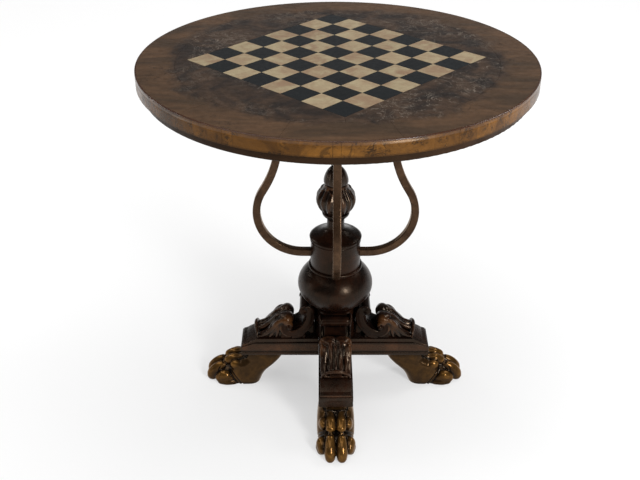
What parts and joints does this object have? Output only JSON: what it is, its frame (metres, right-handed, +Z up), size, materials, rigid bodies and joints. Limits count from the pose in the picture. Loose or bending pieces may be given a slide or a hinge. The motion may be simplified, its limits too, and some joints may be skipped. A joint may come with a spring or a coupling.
{
  "type": "games table",
  "caption": "Round pedestal games table with an inlaid chessboard top, bent square iron brackets round a bud finial, a turned post and carved rails on paw feet.",
  "frame": {"origin": "on the floor under the middle of the post", "axes": "+Z up along the post; the legs point along +X, +Y, -X and -Y; the pictured side is -Y"},
  "size_m": [0.762, 0.762, 0.762],
  "materials": {
    "core_board": "raw",
    "border_veneer": "polished",
    "field_stone": "polished",
    "light_stone": "polished",
    "dark_stone": "polished",
    "rim_veneer": "polished",
    "apron_wood": "satin",
    "dark_wood": "polished",
    "rubbed_wood": "polished",
    "gilt_wood": "polished",
    "bronzed_iron": "satin",
    "screw_steel": "satin",
    "dowel_wood": "raw"
  },
  "bodies": {
    "root": {"apron_panel": "apron_wood", "apron_screws": "screw_steel", "ball": "dark_wood", "bead_ring": "dark_wood", "border_veneer": "border_veneer", "bracket_back": "bronzed_iron", "bracket_front": "bronzed_iron", "bracket_left": "bronzed_iron", "bracket_right": "bronzed_iron", "bracket_studs": "screw_steel", "carving_screws": "screw_steel", "collar_ring": "dark_wood", "dark_squares": "dark_stone", "domed_cap": "dark_wood", "drum": "dark_wood", "edge_band": "rim_veneer", "field_veneer": "field_stone", "finial_bud": "rubbed_wood", "finial_calyx": "rubbed_wood", "finial_cup": "dark_wood", "foot_plate_back": "bronzed_iron", "foot_plate_front": "bronzed_iron", "foot_plate_left": "bronzed_iron", "foot_plate_right": "bronzed_iron", "foot_plate_screws": "screw_steel", "hub_block": "dark_wood", "leaf_back": "rubbed_wood", "leaf_front": "rubbed_wood", "leaf_left": "rubbed_wood", "leaf_right": "rubbed_wood", "light_squares": "light_stone", "paw_back": "gilt_wood", "paw_dowels": "dowel_wood", "paw_front": "gilt_wood", "paw_left": "gilt_wood", "paw_right": "gilt_wood", "rail_back": "rubbed_wood", "rail_dowels": "dowel_wood", "rail_front": "rubbed_wood", "rail_left": "rubbed_wood", "rail_right": "rubbed_wood", "scroll_back": "rubbed_wood", "scroll_front": "rubbed_wood", "scroll_left": "rubbed_wood", "scroll_right": "rubbed_wood", "tie_nut": "screw_steel", "tie_rod": "screw_steel", "tie_washer": "screw_steel", "top_core": "core_board"}
  },
  "joints": []
}
